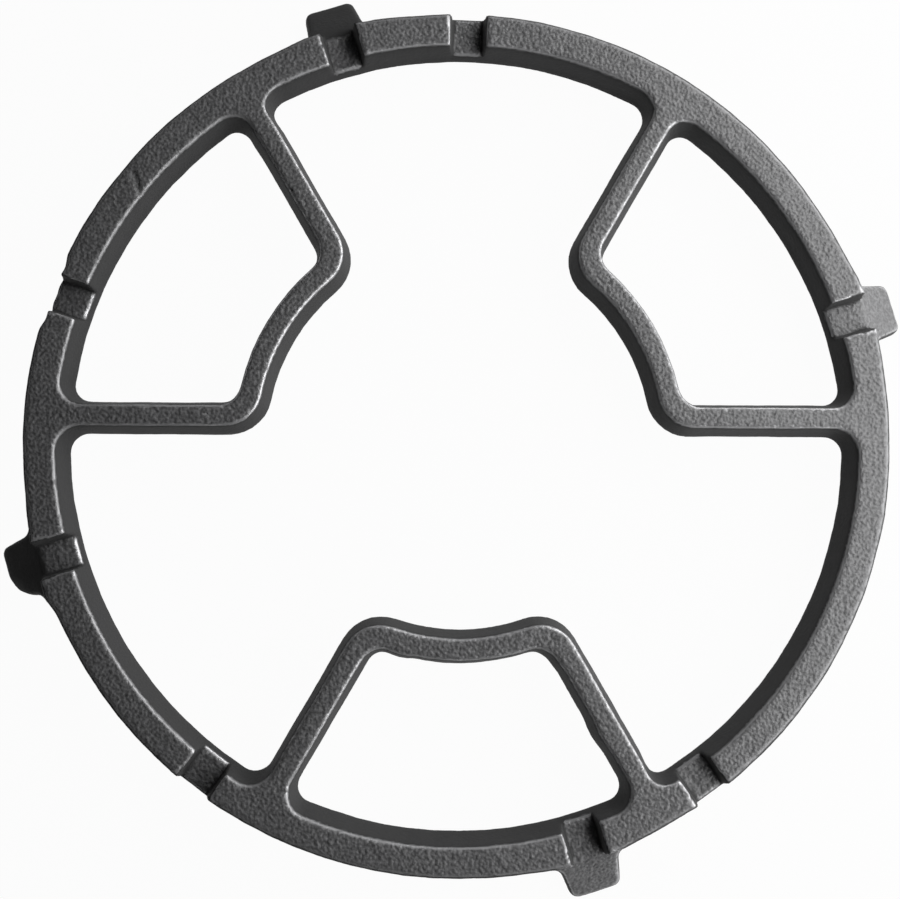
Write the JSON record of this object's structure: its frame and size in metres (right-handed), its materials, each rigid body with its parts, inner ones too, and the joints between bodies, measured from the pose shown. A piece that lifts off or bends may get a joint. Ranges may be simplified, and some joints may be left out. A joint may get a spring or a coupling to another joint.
{
  "type": "wok ring",
  "caption": "Cast iron wok ring for a gas hob: a notched ring with inward arched brackets and sloping ears that steady a round-bottomed wok over the burner.",
  "frame": {"origin": "on the ring's axis, at the level of the feet under the tips of the ears", "axes": "+Z along the ring's axis, out of the notched face; -Y through the middle of one bracket, and the first notch and ear are 17 degrees from +X towards +Y"},
  "size_m": [0.2598, 0.2598, 0.0171],
  "materials": {
    "cast_iron": "as-cast dark grey skin, matt, with a fine orange-peel grain on the upper faces and smoother walls"
  },
  "bodies": {
    "root": {"wok_ring": "cast_iron"}
  },
  "joints": []
}
